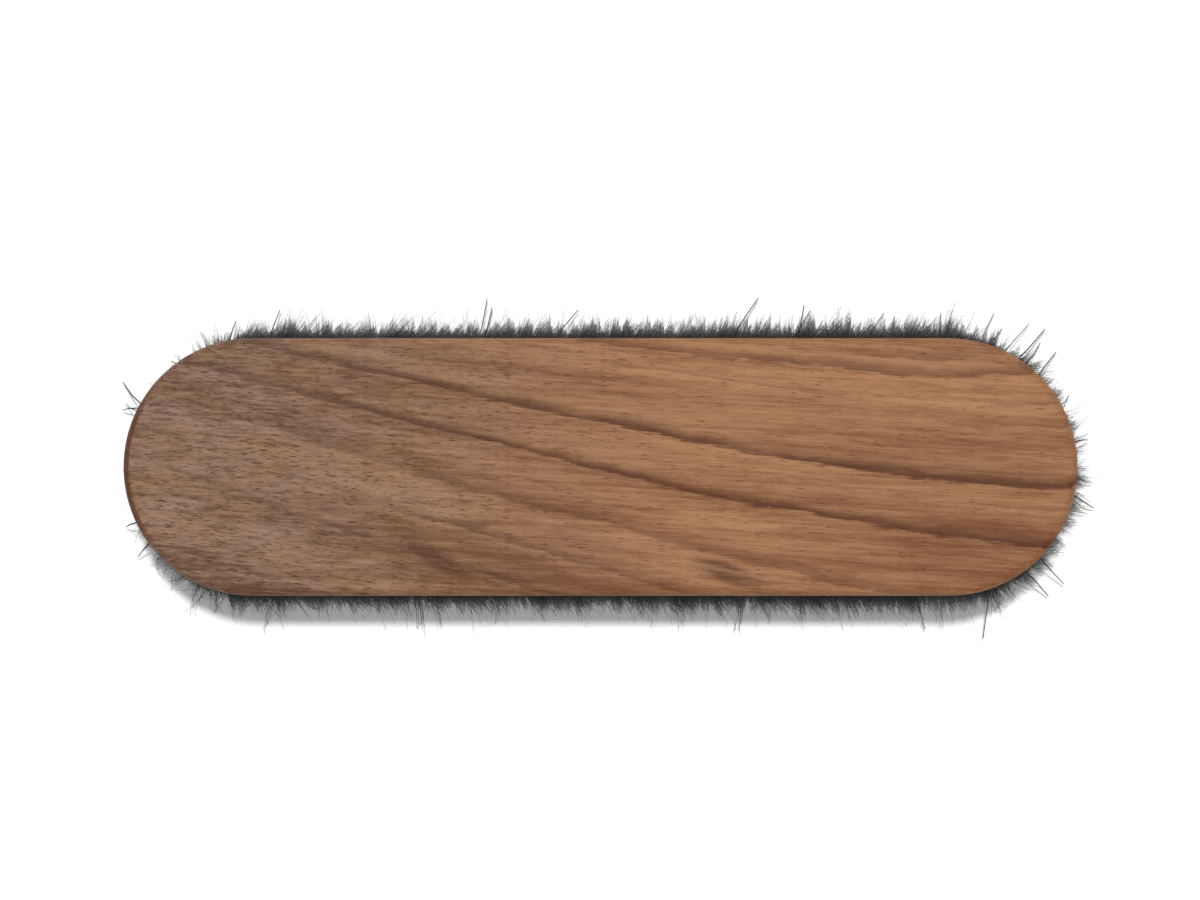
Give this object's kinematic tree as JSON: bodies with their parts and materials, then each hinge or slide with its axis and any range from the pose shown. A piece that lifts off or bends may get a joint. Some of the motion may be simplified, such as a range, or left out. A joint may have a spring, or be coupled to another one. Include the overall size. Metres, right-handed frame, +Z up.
{
  "type": "shoe shine brush",
  "caption": "Oblong wooden brush back with rounded ends and a finger groove, filled from below with staggered tufts of dark horsehair for polishing shoes.",
  "frame": {"origin": "under the middle of the brush, on the plane of the trimmed hair ends", "axes": "+X along the brush, +Z up from the hair ends to the wooden back"},
  "size_m": [0.2076, 0.0644, 0.045],
  "materials": {
    "walnut": "satin varnish",
    "horsehair": "natural hair",
    "anchor_metal": "drawn strip"
  },
  "bodies": {
    "root": {"anchor_row_1": "anchor_metal", "anchor_row_2": "anchor_metal", "anchor_row_3": "anchor_metal", "anchor_row_4": "anchor_metal", "anchor_row_5": "anchor_metal", "tuft_row_01": "horsehair", "tuft_row_02": "horsehair", "tuft_row_03": "horsehair", "tuft_row_04": "horsehair", "tuft_row_05": "horsehair", "tuft_row_06": "horsehair", "tuft_row_07": "horsehair", "tuft_row_08": "horsehair", "tuft_row_09": "horsehair", "tuft_row_10": "horsehair", "tuft_row_11": "horsehair", "tuft_row_12": "horsehair", "tuft_row_13": "horsehair", "tuft_row_14": "horsehair", "tuft_row_15": "horsehair", "tuft_row_16": "horsehair", "tuft_row_17": "horsehair", "tuft_row_18": "horsehair", "tuft_row_19": "horsehair", "tuft_row_20": "horsehair", "tuft_row_21": "horsehair", "tuft_row_22": "horsehair", "tuft_row_23": "horsehair", "tuft_row_24": "horsehair", "tuft_row_25": "horsehair", "tuft_row_26": "horsehair", "tuft_row_27": "horsehair", "tuft_row_28": "horsehair", "tuft_row_29": "horsehair", "tuft_row_30": "horsehair", "tuft_row_31": "horsehair", "tuft_row_32": "horsehair", "tuft_row_33": "horsehair", "tuft_row_34": "horsehair", "tuft_row_35": "horsehair", "tuft_row_36": "horsehair", "tuft_row_37": "horsehair", "wood_back": "walnut"}
  },
  "joints": []
}
